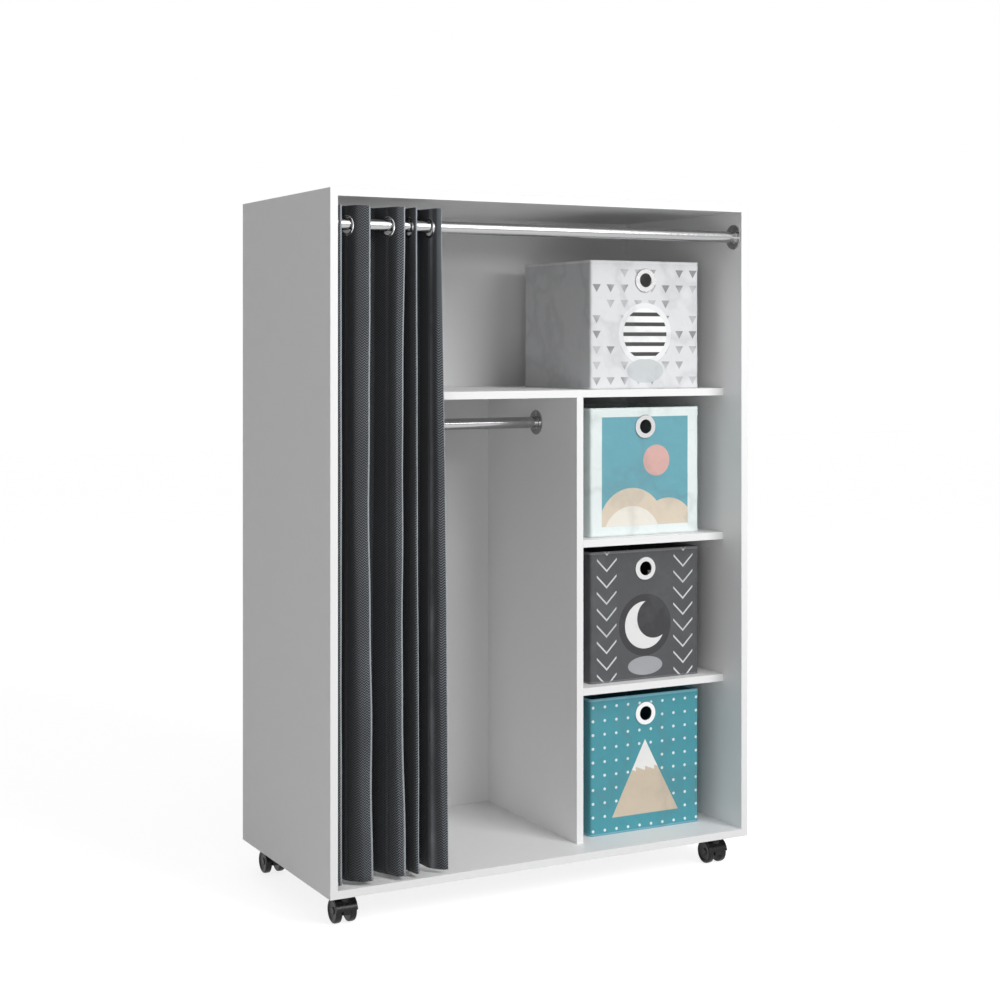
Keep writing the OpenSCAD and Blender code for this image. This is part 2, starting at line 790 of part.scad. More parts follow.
// Wheel with a crowned tread and a dished outer face; side is -1 left or 1 right
module castor_wheel(sx, sy, side) {
  r = wheel_d / 2;
  half = wheel_t / 2;
  color(castor_colour) at_castor(sx, sy) translate([side * wheel_pitch / 2, castor_trail, axle_z])
    scale_x(side) difference() {
      rotate([0, 90, 0]) rotate_extrude() polygon([
        [0, -half], [r - 2, -half], [r - 0.6, -half + 1], [r, -half + 3], [r, half - 4],
        [r - 0.8, half - 1.6], [r - 2.4, half - 0.4], [r - 4, half], [r - 6, half - 0.3],
        [r - 8, half - 2], [8, half - 3], [6.5, half - 1], [0, half - 1]
      ]);
      bar_x(axle_d + 2 * bore_play, -half - over, -half + axle_in_wheel + end_play);
    }
}

left_side();
right_side();
top_panel();
bottom_panel();
long_shelf();
divider();
short_shelf(middle_z);  // shelf_middle
short_shelf(lower_z);  // shelf_lower
back_panel();
cam_locks();
cam_bolts();
dowels();
shelf_pins();
rod(rod_ends[0], rod_ends[1]);  // curtain_rod
at_rod_end(rod_ends[0]) flange();  // curtain_rod_flange_left
at_rod_end(rod_ends[1]) flange();  // curtain_rod_flange_right
rod(rod_ends[2], rod_ends[3]);  // clothes_rail
at_rod_end(rod_ends[2]) flange();  // clothes_rail_flange_left
at_rod_end(rod_ends[3]) flange();  // clothes_rail_flange_right
flange_screws();
castor_plates();
castor_screws();
curtain();
curtain_eyelet(0);  // curtain_eyelet_1
curtain_eyelet(1);  // curtain_eyelet_2
curtain_eyelet(2);  // curtain_eyelet_3
curtain_eyelet(3);  // curtain_eyelet_4
curtain_eyelet(4);  // curtain_eyelet_5
curtain_eyelet(5);  // curtain_eyelet_6
curtain_eyelet(6);  // curtain_eyelet_7
curtain_eyelet(7);  // curtain_eyelet_8
box_shell(0);  // box_1_shell
box_eyelet(0);  // box_1_eyelet
box_base(0);  // box_1_base
box_shell(1);  // box_2_shell
box_eyelet(1);  // box_2_eyelet
box_base(1);  // box_2_base
box_shell(2);  // box_3_shell
box_eyelet(2);  // box_3_eyelet
box_base(2);  // box_3_base
box_shell(3);  // box_4_shell
box_eyelet(3);  // box_4_eyelet
box_base(3);  // box_4_base
castor_hood(-1, -1);  // castor_fl_hood
castor_axle(-1, -1);  // castor_fl_axle
castor_wheel(-1, -1, -1);  // castor_fl_wheel_left
castor_wheel(-1, -1, 1);  // castor_fl_wheel_right
castor_hood(1, -1);  // castor_fr_hood
castor_axle(1, -1);  // castor_fr_axle
castor_wheel(1, -1, -1);  // castor_fr_wheel_left
castor_wheel(1, -1, 1);  // castor_fr_wheel_right
castor_hood(-1, 1);  // castor_bl_hood
castor_axle(-1, 1);  // castor_bl_axle
castor_wheel(-1, 1, -1);  // castor_bl_wheel_left
castor_wheel(-1, 1, 1);  // castor_bl_wheel_right
castor_hood(1, 1);  // castor_br_hood
castor_axle(1, 1);  // castor_br_axle
castor_wheel(1, 1, -1);  // castor_br_wheel_left
castor_wheel(1, 1, 1);  // castor_br_wheel_right
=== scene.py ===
"""Looks of an open children's wardrobe: boards, chrome, castors, curtain and fabric boxes."""

import math

import bmesh
import bpy
import numpy as np
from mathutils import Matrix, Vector


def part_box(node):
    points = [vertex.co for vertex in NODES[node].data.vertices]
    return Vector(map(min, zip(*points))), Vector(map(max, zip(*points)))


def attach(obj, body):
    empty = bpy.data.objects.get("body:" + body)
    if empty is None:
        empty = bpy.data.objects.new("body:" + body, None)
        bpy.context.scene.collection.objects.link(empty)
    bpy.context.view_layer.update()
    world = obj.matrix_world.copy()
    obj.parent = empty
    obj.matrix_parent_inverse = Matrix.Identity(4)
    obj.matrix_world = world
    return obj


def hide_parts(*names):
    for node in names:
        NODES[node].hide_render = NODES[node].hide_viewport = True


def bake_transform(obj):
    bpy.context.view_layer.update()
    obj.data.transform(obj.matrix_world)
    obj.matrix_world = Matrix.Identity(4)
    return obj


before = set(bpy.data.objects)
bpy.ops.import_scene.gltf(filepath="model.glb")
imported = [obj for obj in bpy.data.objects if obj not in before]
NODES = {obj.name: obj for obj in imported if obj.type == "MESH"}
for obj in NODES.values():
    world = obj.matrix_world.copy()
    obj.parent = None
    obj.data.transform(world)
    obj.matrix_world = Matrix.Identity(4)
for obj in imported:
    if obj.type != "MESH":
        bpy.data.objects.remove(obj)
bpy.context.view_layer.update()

# Lengths are in metres, or in millimetres times MM
MM = 0.001
BOARD_BEVEL = 0.6 * MM

# Camera of the photograph: place, turn about the vertical in degrees, lens and sensor in mm
CAMERA_AT = (-1.87395, -3.53298, 1.16002)
CAMERA_YAW = -28.06673
CAMERA_LENS = 65.05
CAMERA_SENSOR = 36
CAMERA_SHIFT_Y = -0.15656

# Studio: the soft light all round, the pale floor, and each lamp's name, place, size and power
WORLD_STRENGTH = 0.28
FLOOR_SIZE = 30
FLOOR_GLOW = 0.8
LOOK_AT = Vector((0, 0, 0.75))
LAMPS = [
    ("key", (1.3, -3.6, 2.9), 2.0, 124),
    ("left_fill", (-2.1, -3.6, 0.5), 2.0, 36),
    ("top", (0.2, -1.2, 3.4), 2.4, 14)
]

# Curtain: its cloth, the holes round the eyelets, and how far the head reaches under the rod
EYELETS = 8
STRETCHES = EYELETS + 1
CLOTH_T = 1.4 * MM
WEAVE = 5.2 * MM
HOLE_R = 18.2 * MM
HOLE_REACH = 8 * MM
HEAD_BELOW = 40 * MM

# Points of the cloth: across each stretch, down the head and down the rest
COLUMNS = 26
HEAD_ROWS = 30
LOWER_ROWS = 100

# The curtain's plan is in mm: x from the carcass's left face, y from the rod's axis, front
# below 0. Each pleat is [wall that runs back, wall that runs forward, shoulder, front edge],
# listed at the head, at half height and at the hem
PLEATS = np.array([
    [[33, 37.5, 56, 86], [106, 126.5, 145.5, 162], [176, 184.5, 186.5, 189], [206, 226, 234, 245]],
    [[34, 41, 56, 85], [108, 124, 143, 157], [175, 184, 187, 191], [206, 227, 238, 255]],
    [[35, 42, 70, 93], [110, 124, 148, 163], [176, 184, 189, 194], [208, 228, 246, 260.2]]
])
CLOTH_START = 19.3
FIRST_FOLD = 25.5
FOLD_ROUND = 1
EDGE_TURN = 2.2
FRONT_REACH = 25.5
WALL_FRONT = 21.5
WALL_BACK = 29.0
BACK_REACH = 35.5
POCKET_CORNER = 0.14
POCKET_ROUND = 1
SHOULDER_AT = 0.4
SHOULDER_BACK = 0.4

# How much deeper each pocket gets at the hem, in mm, and how late that sets in
HEM_EXTRA = (17, 17, 0, 15)
HEM_POWER = 6

# Sway of the folds: mm, radians per metre of height, radians from one stretch to the next.
# A stretch that is narrower than SWAY_WIDTH mm sways less
SWAYS = [(1.9, 9, 1.7), (0.9, 23, 2.3)]
SWAY_WIDTH = 40

# How the painted highlight line on each stretch's front edge changes toward the hem: a number
# above 0 makes
# it wider, and one below 0 narrower
LINE_SPREAD = (0, 0, 0.3, 0, 0.5, 0, -0.6, 0, 0)

# The painted sheen streak down the last pleat, a painted highlight: mm in front of the rod's axis,
# and its width
STREAK_DEPTH = 6
STREAK_WIDTH = 5.5

# Fabric boxes: the wall of the solid, the cloth, the corner and the gaps to the solid's faces
BOX_WALL = 3 * MM
BOX_CLOTH = 2 * MM
BOX_CORNER = 7 * MM
BOX_INSET = 0.6 * MM
BOX_GAP = 0.2 * MM
BOX_HOLE_R = 17.5 * MM
BOX_HOLE_REACH = 9 * MM
BOX_FLOOR_INSET = 4 * MM
BOX_FLOOR_Z = 0.6 * MM
BOX_FLOOR_T = 1 * MM

# Points of a box: along each side, round each corner, up the wall, and the row at the eyelet
SIDE_COLUMNS = 40
CORNER_POINTS = 7
BOX_ROWS = 50
EYELET_ROW = 40
FLOOR_POINTS = 5

# How far a box's wall pulls in, creases and stands out at the hem and foot. The crease's waves
# are radians per metre along x and y, then radians up the wall; the shares are of the height
WALL_SAG = 1.6 * MM
CREASE = 0.5 * MM
CREASE_X = 31
CREASE_Y = 27
CREASE_RISE = (9, 7)
CREASE_SHIFT = 5
HEM_PROUD = 0.5 * MM
HEM_FROM = 0.93
FOOT_TO = 0.03

# Piping along the top and foot of a box, and how soft the edges of piping, stripes and ink are
PIPING_TOP = 6 * MM
PIPING_FOOT = 4 * MM
SHARP_EDGE = 0.5 * MM
STRIPE_EDGE = 0.6 * MM
INK_EDGE = 0.8 * MM


# Materials
class Shader:
    """A material's node tree with short calls for the nodes used here."""

    def __init__(self, name, color, roughness, **inputs):
        self.material = bpy.data.materials.new(name)
        self.material.use_nodes = True
        self.tree = self.material.node_tree
        self.bsdf = self.tree.nodes["Principled BSDF"]
        self.bsdf.inputs["Base Color"].default_value = (*color[:3], 1)
        self.bsdf.inputs["Roughness"].default_value = roughness
        for key, value in inputs.items():
            self.bsdf.inputs[key.replace("_", " ")].default_value = value

    def node(self, kind, **settings):
        made = self.tree.nodes.new("ShaderNode" + kind)
        for key, value in settings.items():
            setattr(made, key, value)
        return made

    def put(self, socket, value):
        if isinstance(value, bpy.types.NodeSocket):
            self.tree.links.new(value, socket)
        else:
            socket.default_value = value

    def math(self, operation, a, b=0.0, c=0.0):
        made = self.node("Math", operation=operation)
        for socket, value in zip(made.inputs, (a, b, c)):
            self.put(socket, value)
        return made.outputs[0]

    def plus(self, a, b):
        return self.math("ADD", a, b)

    def minus(self, a, b):
        return self.math("SUBTRACT", a, b)

    def times(self, a, b):
        return self.math("MULTIPLY", a, b)

    def times_plus(self, a, b, c):
        return self.math("MULTIPLY_ADD", a, b, c)

    def absolute(self, a):
        return self.math("ABSOLUTE", a)

    def larger(self, a, b):
        return self.math("MAXIMUM", a, b)

    def mix(self, factor, a, b):
        made = self.node("Mix", data_type="RGBA")
        self.put(made.inputs["Factor"], factor)
        self.put(made.inputs[6], a)
        self.put(made.inputs[7], b)
        return made.outputs[2]

    def noise(self, scale, detail=3.0, vector=None):
        made = self.node("TexNoise")
        made.inputs["Scale"].default_value = scale
        made.inputs["Detail"].default_value = detail
        self.put(made.inputs["Vector"], vector or self.node("TexCoord").outputs["Object"])
        return made.outputs["Fac"]

    def ramp(self, value, low, high, to_low=0.0, to_high=1.0):
        made = self.node("MapRange")
        made.clamp = True
        for socket, number in zip(made.inputs, (value, low, high, to_low, to_high)):
            self.put(socket, number)
        return made.outputs[0]

    def above(self, value, limit, edge):
        """1 where value is over limit, with a soft edge."""
        return self.ramp(value, limit, limit + edge)

    def below(self, value, limit, edge):
        """1 where value is under limit, with a soft edge."""
        return self.ramp(value, limit, limit + edge, 1, 0)

    def bump(self, height, distance, strength):
        made = self.node("Bump")
        made.inputs["Strength"].default_value = strength
        made.inputs["Distance"].default_value = distance
        self.put(made.inputs["Height"], height)
        self.put(self.bsdf.inputs["Normal"], made.outputs["Normal"])

    def separate(self, vector):
        made = self.node("SeparateXYZ")
        self.put(made.inputs[0], vector)
        return made.outputs

    def colour(self, socket):
        self.put(self.bsdf.inputs["Base Color"], socket)

    def rough(self, roughness, more, scale):
        """Roughness that varies from one value by a little more."""
        socket = self.ramp(self.noise(scale), 0.3, 0.7, roughness, roughness + more)
        self.put(self.bsdf.inputs["Roughness"], socket)


def rgb(r, g, b):
    return (r, g, b, 1)


def board_material(name, tone):
    """White melamine: a faint orange-peel surface and slight unevenness of tone."""
    clean = rgb(tone, tone, tone)
    s = Shader(name, clean, 0.42)
    s.colour(s.mix(s.noise(6), clean, rgb(tone * 0.97, tone * 0.97, tone * 0.975)))
    s.rough(0.38, 0.12, 40)
    s.bump(s.noise(900, 1), 0.1 * MM, 0.25)
    return s.material


def metal_material(name, tone, roughness):
    s = Shader(name, (tone, tone, tone * 1.01), roughness, Metallic=1.0)
    s.rough(roughness, 0.07, 120)
    return s.material


def plastic_material(name, tone, roughness):
    s = Shader(name, (tone, tone, tone * 1.1), roughness, Specular_IOR_Level=0.3)
    s.rough(roughness, 0.12, 90)
    s.bump(s.noise(1500, 1), 0.1 * MM, 0.3)
    return s.material


def wood_material(name, dark, light):
    """Wood with its grain along x."""
    s = Shader(name, light, 0.6)
    grain = s.node("Mapping")
    grain.inputs["Scale"].default_value = (1, 12, 12)
    s.put(grain.inputs[0], s.node("TexCoord").outputs["Object"])
    s.colour(s.mix(s.noise(40, 5, grain.outputs[0]), dark, light))
    return s.material


def cells(s, value, size, shift=0.0):
    """Signed distance from the middle of the nearest cell of a row."""
    moved = s.plus(s.plus(value, shift), 10 * size)
    return s.minus(s.math("MODULO", moved, size), size / 2)


def weave(s, u, v, size):
    """Soft diagonal dots of a woven cloth, 0 to 1."""
    turn = math.pi / size
    a = s.math("SINE", s.times(s.plus(u, v), turn))
    b = s.math("SINE", s.times(s.minus(u, v), turn))
    return s.times_plus(s.times(a, b), 0.5, 0.5)


def curtain_material():
    """Charcoal herringbone with painted light: thread painted paler on the outer folds, a painted
    highlight line on each edge, and a painted sheen streak.
    """
    s = Shader("curtain_cloth", (0.03, 0.032, 0.036), 0.8, Sheen_Weight=0.12, Sheen_Roughness=0.5)
    uv = s.separate(s.node("TexCoord").outputs["UV"])
    bent = s.plus(uv[1], s.absolute(cells(s, uv[0], 2 * WEAVE)))
    dots = s.times_plus(s.math("SINE", s.times(bent, 2 * math.pi / WEAVE)), 0.5, 0.5)

    # Painted highlight: the cloth is painted paler, and unevenly, just before a front edge, for
    # the light that the outer folds catch
    beyond = s.node("Attribute", attribute_name="beyond").outputs["Fac"]
    painted_fold_light = s.ramp(beyond, -30 * MM, -2 * MM, 0, 1)
    painted_fold_light = s.times(painted_fold_light, s.ramp(beyond, 0, 4 * MM, 1, 0.15))
    painted_fold_light = s.times(painted_fold_light, s.ramp(s.noise(5, 2), 0.3, 0.7, 0.45, 1))
    ground = s.mix(painted_fold_light, rgb(0.003, 0.0035, 0.0045), rgb(0.007, 0.008, 0.01))
    thread = s.mix(painted_fold_light, rgb(0.034, 0.039, 0.045), rgb(0.2, 0.22, 0.245))
    cloth = s.mix(s.ramp(dots, 0.5, 0.95), ground, thread)

    # Painted highlight: a pale line on each front edge, which wobbles by 0.6 mm to each side
    wobble = s.times_plus(s.noise(300, 1), 1.2 * MM, -0.6 * MM)
    line = s.ramp(s.absolute(s.plus(beyond, wobble)), 0.7 * MM, 1.9 * MM, 0.75, 0)
    cloth = s.mix(line, cloth, rgb(0.4, 0.44, 0.47))

    # Painted highlight: a pale sheen streak down the last pleat, patchy along its length
    streak = s.node("Attribute", attribute_name="streak").outputs["Fac"]
    streak = s.times(streak, s.ramp(s.noise(9, 3), 0.3, 0.65, 0.3, 0.9))
    s.colour(s.mix(streak, cloth, rgb(0.27, 0.28, 0.3)))
    s.bump(dots, 0.8 * MM, 0.7)
    return s.material


# Prints of the boxes: x and z are metres from the middle of the front's lower edge
def disc(s, x, z, middle_x, middle_z, radius, wide=1.0):
    """1 inside an upright disc, or inside an oval that is wide times as wide as high."""
    dx = s.math("DIVIDE", s.minus(x, middle_x), wide)
    dz = s.minus(z, middle_z)
    far = s.math("SQRT", s.plus(s.times(dx, dx), s.times(dz, dz)))
    return s.below(far, radius, INK_EDGE)


def stripes(s, value, size, share):
    """1 on stripes that take up a share of each step of this size."""
    return s.below(s.absolute(cells(s, value, size)), size * share / 2, STRIPE_EDGE)


def triangles(s, x, z, step_x, step_z, half):
    """Rows of small triangles that point down, each 2 half high."""
    slant = 0.6
    dx = s.absolute(cells(s, x, step_x))
    dz = cells(s, z, step_z)
    inside = s.minus(s.times_plus(dz, slant, half * slant), dx)
    return s.times(s.above(inside, 0, INK_EDGE), s.below(dz, half, STRIPE_EDGE))


def layers(s, ground, parts):
    tone = ground
    for mask, paint in parts:
        tone = s.mix(mask, tone, paint)
    return tone


def print_triangles(s, x, z):
    """Pale cloth with grey triangles and a striped ball on a plain disc."""
    step_x = 36 * MM
    step_z = 34 * MM
    ball_z = 122 * MM
    cell_middle = s.node("CombineXYZ")
    s.put(cell_middle.inputs[0], s.minus(x, cells(s, x, step_x)))
    s.put(cell_middle.inputs[1], s.minus(z, cells(s, z, step_z)))
    kept = s.above(s.noise(37, 0, cell_middle.outputs[0]), 0.42, 0.01)
    shade = s.mix(s.ramp(s.noise(23, 0), 0.4, 0.6), rgb(0.5, 0.51, 0.52), rgb(0.25, 0.26, 0.27))
    ball = disc(s, x, z, 0, ball_z, 56 * MM)
    return layers(s, rgb(0.69, 0.7, 0.715), [
        (s.times(kept, triangles(s, x, z, step_x, step_z, 9 * MM)), shade),
        (disc(s, x, z, 0, ball_z, 68 * MM), rgb(0.8, 0.81, 0.82)),
        (disc(s, x, z, 0, 40 * MM, 26 * MM, 1.8), rgb(0.55, 0.58, 0.59)),
        (ball, rgb(0.9, 0.9, 0.9)),
        (s.times(ball, stripes(s, z, 22 * MM, 0.36)), rgb(0.02, 0.02, 0.022))
    ])


def print_hills(s, x, z):
    """Mint border round a teal field with sand-coloured hills under a rose sun."""
    left_hill_x = -35 * MM
    field = s.times(s.below(s.absolute(x), 112 * MM, MM), s.above(z, 22 * MM, MM))
    field = s.times(field, s.below(z, 262 * MM, MM))
    left_hill = disc(s, x, z, left_hill_x, 20 * MM, 85 * MM)
    right_hill = disc(s, x, z, 60 * MM, 10 * MM, 70 * MM)
    parts = [
        (disc(s, x, z, 30 * MM, 165 * MM, 34 * MM), rgb(0.66, 0.4, 0.36)),
        (s.larger(left_hill, right_hill), rgb(0.67, 0.58, 0.46)),
        (disc(s, x, z, left_hill_x, -10 * MM, 75 * MM), rgb(0.8, 0.76, 0.68))
    ]
    ground = s.mix(field, rgb(0.76, 0.83, 0.82), rgb(0.12, 0.36, 0.43))
    return layers(s, ground, [(s.times(field, mask), paint) for mask, paint in parts])


def print_chevrons(s, x, z):
    """Dark cloth with pale zigzags at the sides and a moon on a black disc."""
    moon_z = 120 * MM
    bent = s.plus(z, s.absolute(cells(s, x, 50 * MM)))
    aside = s.absolute(x)
    sides = s.times(s.above(aside, 74.5 * MM, SHARP_EDGE), s.below(aside, 125 * MM, SHARP_EDGE))
    zigzag = s.times(stripes(s, bent, 36 * MM, 0.12), sides)
    moon = s.minus(disc(s, x, z, 0, moon_z, 52 * MM), disc(s, x, z, 24 * MM, 134 * MM, 44 * MM))
    return layers(s, rgb(0.055, 0.057, 0.062), [
        (zigzag, rgb(0.62, 0.64, 0.66)),
        (disc(s, x, z, 0, moon_z, 68 * MM), rgb(0.014, 0.014, 0.017)),
        (s.larger(moon, 0), rgb(0.8, 0.8, 0.8)),
        (disc(s, x, z, 0, 30 * MM, 20 * MM, 2.2), rgb(0.34, 0.35, 0.37))
    ])


def print_dots(s, x, z):
    """Teal cloth with white dots and a sand-coloured mountain with a snow cap."""
    step = 30 * MM
    steepness = 1.9
    top_z = 200 * MM
    dot = disc(s, cells(s, x, step), cells(s, z, step, 4 * MM), 0, 0, 2.8 * MM)
    under = s.minus(top_z, s.times_plus(s.absolute(x), steepness, z))
    mountain = s.times(s.above(under, 0, MM), s.above(z, 35 * MM, MM))
    jagged = s.times_plus(cells(s, x, 24 * MM), 0.4, z)
    return layers(s, rgb(0.045, 0.29, 0.35), [
        (dot, rgb(0.75, 0.85, 0.85)),
        (mountain, rgb(0.62, 0.52, 0.4)),
        (s.times(mountain, s.above(jagged, 135 * MM, MM)), rgb(0.86, 0.86, 0.84))
    ])


def box_material(number, low, high, side_tone, piping, paint):
    """Printed front, plain sides, piping at the top and foot, fine weave, soft creases, and
    painted crease shade in thin darker lines.
    """
    s = Shader(f"box_{number}_cloth", side_tone, 0.7, Sheen_Weight=0.15)
    place = s.separate(s.node("TexCoord").outputs["Object"])
    x = s.minus(place[0], (low.x + high.x) / 2)
    z = s.minus(place[2], low.z)

    # The print is on the front wall alone: near the front, and where the cloth faces forward
    facing = s.separate(s.node("NewGeometry").outputs["True Normal"])[1]
    front = s.below(place[1], low.y + 2 * BOX_WALL, BOX_WALL)
    front = s.times(front, s.below(facing, -0.75, 0.1))
    tone = s.mix(front, side_tone, paint(s, x, z))

    rim = s.above(z, high.z - low.z - PIPING_TOP, SHARP_EDGE)
    rim = s.larger(rim, s.below(z, PIPING_FOOT, SHARP_EDGE))
    tone = s.mix(s.times(rim, 0.7), tone, piping)
    # Painted shade: thin darker lines along a noise pattern, for the shade in the creases
    painted_crease_shade = s.ramp(s.absolute(s.minus(s.noise(6, 4), 0.5)), 0, 0.05, 0.16, 0)
    tone = s.mix(painted_crease_shade, tone, rgb(0.12, 0.13, 0.14))
    threads = weave(s, s.plus(place[0], place[1]), place[2], 1.6 * MM)
    s.colour(s.mix(s.times(threads, 0.1), tone, rgb(0.3, 0.3, 0.3)))
    s.bump(s.times_plus(s.noise(11, 3), 16.0, s.times(threads, 0.3)), 1.2 * MM, 0.5)
    return s.material


# Meshes
def grid_mesh(name, points, material, closed=False, uv=None, **values):
    """A sheet from points[row][column]; uv is in metres, and values are one number per point."""
    rows, columns = len(points), len(points[0])
    faces = []
    for r in range(rows - 1):
        for c in range(columns if closed else columns - 1):
            here = r * columns + c
            beside = r * columns + (c + 1) % columns
            faces.append((here, beside, beside + columns, here + columns))
    mesh = bpy.data.meshes.new(name)
    mesh.from_pydata([tuple(p) for row in points for p in row], [], faces)
    if uv is not None:
        layer = mesh.uv_layers.new(name="cloth")
        flat = [p for row in uv for p in row]
        for loop in mesh.loops:
            layer.data[loop.index].uv = flat[loop.vertex_index]
    for key, numbers in values.items():
        layer = mesh.attributes.new(key, "FLOAT", "POINT")
        layer.data.foreach_set("value", np.array(numbers, np.float32).ravel())
    mesh.materials.append(material)
    mesh.shade_smooth()
    piece = bpy.data.objects.new(name, mesh)
    bpy.context.scene.collection.objects.link(piece)
    return piece


def open_hole(piece, centre, radius, reach):
    """Takes out the faces inside radius and draws the points left there, by reach, out to it."""
    work = bmesh.new()
    work.from_mesh(piece.data)
    centre = np.array(centre)
    inside = {v for v in work.verts if np.linalg.norm(np.array(v.co) - centre) < radius}
    gone = [face for face in work.faces if all(v in inside for v in face.verts)]
    bmesh.ops.delete(work, geom=gone, context="FACES")
    for vertex in work.verts:
        offset = np.array(vertex.co) - centre
        far = np.linalg.norm(offset)
        if vertex.link_faces and radius - reach < far < radius:
            vertex.co = Vector(centre + offset * radius / far)
    work.to_mesh(piece.data)
    work.free()


def thicken(piece, thickness, offset=0.0):
    solid = piece.modifiers.new("thickness", "SOLIDIFY")
    solid.thickness = thickness
    solid.offset = offset
    bpy.context.view_layer.objects.active = piece
    bpy.ops.object.select_all(action="DESELECT")
    piece.select_set(True)
    bpy.ops.object.modifier_apply(modifier=solid.name)


def middle_of(name):
    low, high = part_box(name)
    return (low + high) / 2


def run_along(line):
    """Distance of each point of a line from its first, along the line."""
    return np.concatenate([[0], np.cumsum(np.linalg.norm(np.diff(line, axis=0), axis=1))])


# Curtain
def through_three(u, table):
    """A value at 0, 1/2 and 1 of u, on a curve through the three."""
    head, half, hem = table
    return head * (1 - u) * (1 - 2 * u) + 4 * half * u * (1 - u) + hem * u * (2 * u - 1)


def curtain_controls(u, crossings):
    """Control points of the plan, and the indices of the rod crossings and front edges."""
    points = [(CLOTH_START, FOLD_ROUND - FRONT_REACH), (FIRST_FOLD - FOLD_ROUND, -FRONT_REACH)]
    marks, fronts = [], [1]
    start = FIRST_FOLD + FOLD_ROUND
    for i, (back_in, back_out, shoulder, edge) in enumerate(through_three(u, PLEATS)):
        rear = BACK_REACH + HEM_EXTRA[i] * u ** HEM_POWER
        gap = back_out - back_in
        marks.append(len(points) + 1)
        points += [
            (start, -WALL_FRONT),
            (crossings[2 * i], 0),
            (back_in, WALL_BACK),
            (back_in + POCKET_CORNER * gap, rear - POCKET_ROUND),
            (back_in + 0.5 * gap, rear),
            (back_out - POCKET_CORNER * gap, rear - POCKET_ROUND),
            (back_out, WALL_BACK)
        ]
        marks.append(len(points))
        points += [
            (crossings[2 * i + 1], 0),
            (shoulder, -WALL_FRONT),
            (shoulder + SHOULDER_AT * (edge - shoulder), SHOULDER_BACK - FRONT_REACH),
            (edge, -FRONT_REACH)
        ]
        fronts.append(len(points) - 1)
        start = edge + EDGE_TURN
    return np.array(points, float), marks, fronts


def smooth_between(points, a, b, count):
    """Catmull-Rom points from control a to control b."""
    made = []
    for t in np.linspace(a, b, count):
        k = min(int(t), b - 1)
        f = t - k
        p0, p1 = points[max(k - 1, 0)], points[k]
        p2, p3 = points[k + 1], points[min(k + 2, len(points) - 1)]
        made.append(0.5 * (2 * p1 + (p2 - p0) * f + (2 * p0 - 5 * p1 + 4 * p2 - p3) * f ** 2
                           + (3 * p1 - p0 - 3 * p2 + p3) * f ** 3))
    return np.array(made)


def curtain_row(z, u, crossings):
    """Each stretch at one height: its plan, and how far its points lie past the front edge."""
    controls, marks, fronts = curtain_controls(u, crossings)
    cuts = [0] + marks + [len(controls) - 1]
    made = []
    for k in range(STRETCHES):
        line = smooth_between(controls, cuts[k], cuts[k + 1], COLUMNS)
        past = np.ones(COLUMNS)
        if k % 2 == 0:
            steps = run_along(line)
            edge = np.argmin(np.linalg.norm(line - controls[fronts[k // 2]], axis=1))
            past = (steps - steps[edge]) * MM * (1 - LINE_SPREAD[k] * u)
        sway = sum(size * math.sin(z * rise + turn * k) for size, rise, turn in SWAYS)
        free = min(1.0, (line[-1, 0] - line[0, 0]) / SWAY_WIDTH)
        ripple = np.sin(np.linspace(0, math.pi, COLUMNS)) * math.sqrt(u)
        line[:, 0] += ripple * sway * free
        made.append((line, past))
    return made


def pale_streak(k, depth):
    """The painted sheen streak down the last pleat; depth is mm in front of the rod's axis."""
    if k < EYELETS - 1:
        return np.zeros(depth.shape)
    first = COLUMNS // 2 + 1 if k < EYELETS else 0
    return np.exp(-((depth - STREAK_DEPTH) / STREAK_WIDTH) ** 2) * (np.arange(COLUMNS) >= first)


def make_curtain(material):
    """The cloth in stretches that meet at the eyelets; the first is attached to the carcass and
    the last to the eighth eyelet.
    """
    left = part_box("left_side")[0].x
    rod_y = middle_of("curtain_rod").y
    low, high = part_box("curtain")
    centres = [middle_of(f"curtain_eyelet_{k}") for k in range(1, EYELETS + 1)]
    crossings = [(c.x - left) / MM for c in centres]
    band = centres[0].z - HEAD_BELOW
    heights = np.concatenate([
        np.linspace(high.z, band, HEAD_ROWS), np.linspace(band, low.z, LOWER_ROWS + 1)[1:]
    ])
    rows = [curtain_row(z, max(0.0, (band - z) / (band - low.z)), crossings) for z in heights]
    travelled = 0.0
    for k in range(STRETCHES):
        points = np.array([
            [(left + x * MM, rod_y + y * MM, z) for x, y in row[k][0]]
            for z, row in zip(heights, rows)
        ])
        along = travelled + run_along(points[HEAD_ROWS])
        travelled = along[-1]
        piece = grid_mesh(
            f"curtain_part_{k + 1}", points, material,
            uv=[[(a, z) for a in along] for z in heights],
            beyond=[row[k][1] for row in rows],
            streak=pale_streak(k, (rod_y - points[:, :, 1]) / MM)
        )
        for eyelet in centres[max(k - 1, 0):k + 1]:
            open_hole(piece, eyelet, HOLE_R, HOLE_REACH)
        thicken(piece, CLOTH_T)
        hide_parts("curtain")
        if k == 0:
            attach(piece, "carcass")
        elif k == EYELETS:
            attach(piece, "eyelet_8")
        else:
            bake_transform(piece)


# Fabric boxes
def rounded_ring(w, d, r):
    """Outline of a box in plan from the middle of its front, counter-clockwise."""
    right, back = w / 2 - r, d / 2 - r
    corners = [(right, -back), (right, back), (-right, back), (-right, -back)]
    straight_ends = [(w / 2, back), (-right, d / 2), (-w / 2, -back), (0, -d / 2)]
    points = [(x, -d / 2) for x in np.linspace(0, right, SIDE_COLUMNS // 2)]
    for i, ((cx, cy), (end_x, end_y)) in enumerate(zip(corners, straight_ends)):
        turn = np.radians(np.linspace(-90, 0, CORNER_POINTS) + 90 * i)
        arc = [(cx + r * math.cos(a), cy + r * math.sin(a)) for a in turn]
        points += arc[1:] if i == 0 else arc
        x, y = arc[-1]
        count = SIDE_COLUMNS if i < 3 else SIDE_COLUMNS // 2
        steps = np.linspace(0, 1, count + 1)[1:-1]
        points += [(x + (end_x - x) * t, y + (end_y - y) * t) for t in steps]
    return np.array(points)


